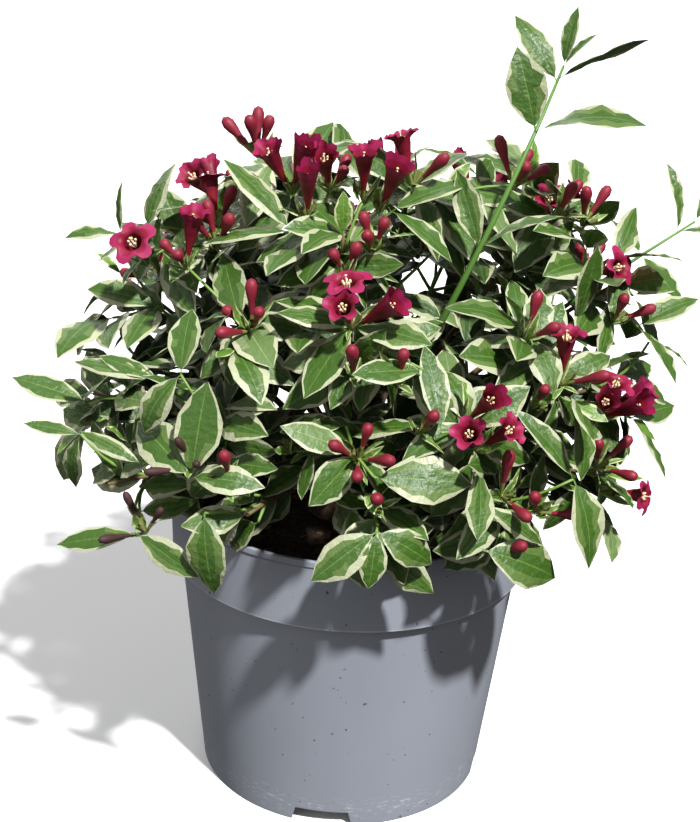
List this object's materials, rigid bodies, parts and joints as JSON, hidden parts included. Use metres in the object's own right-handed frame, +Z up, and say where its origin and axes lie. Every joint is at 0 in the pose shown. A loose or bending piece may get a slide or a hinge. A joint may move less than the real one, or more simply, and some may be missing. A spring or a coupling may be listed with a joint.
{
  "type": "potted weigela shrub",
  "caption": "Potted weigela, a rounded flowering shrub with cream-edged leaves and deep pink trumpet flowers, standing in a plain grey nursery pot.",
  "frame": {"origin": "middle of the plant's footprint, on the ground under the pot", "axes": "+Z up, -Y towards the front of the plant, +X to the right"},
  "size_m": [0.4418, 0.3836, 0.4918],
  "materials": {
    "pot": "moulded blue-grey plastic with light scuffs, satin",
    "compost": "moist potting compost with bark chips, matt",
    "wood": "thin brown bark, matt",
    "young_shoot": "smooth bright green young bark",
    "foliage": "green leaves with cream margins, deep pink trumpet flowers and crimson buds"
  },
  "bodies": {
    "root": {"pot": "pot", "compost": "compost", "stem": "wood", "tall_shoot_bough": "young_shoot", "tall_shoot": "foliage", "crown_top_bough": "wood", "crown_top": "foliage", "top_centre_bough": "wood", "top_centre": "foliage", "top_left_bough": "wood", "top_left": "foliage", "centre_upper_bough": "wood", "centre_upper": "foliage", "top_right_bough": "wood", "top_right": "foliage", "right_upper_bough": "wood", "right_upper": "foliage", "side_shoot_bough": "young_shoot", "side_shoot": "foliage", "right_bough": "wood", "right": "foliage", "right_middle_bough": "wood", "right_middle": "foliage", "right_low_bough": "wood", "right_low": "foliage", "front_right_bough": "wood", "front_right": "foliage", "front_right_low_bough": "wood", "front_right_low": "foliage", "front_upper_bough": "wood", "front_upper": "foliage", "front_bough": "wood", "front": "foliage", "front_low_bough": "wood", "front_low": "foliage", "front_left_bough": "wood", "front_left": "foliage", "front_left_low_bough": "wood", "front_left_low": "foliage", "front_left_upper_bough": "wood", "front_left_upper": "foliage", "left_low_bough": "wood", "left_low": "foliage", "left_bough": "wood", "left": "foliage", "left_upper_bough": "wood", "left_upper": "foliage", "back_left_bough": "wood", "back_left": "foliage", "back_low_bough": "wood", "back_low": "foliage", "back_bough": "wood", "back": "foliage", "back_right_bough": "wood", "back_right": "foliage", "back_upper_left_bough": "wood", "back_upper_left": "foliage", "back_upper_right_bough": "wood", "back_upper_right": "foliage"}
  },
  "joints": []
}
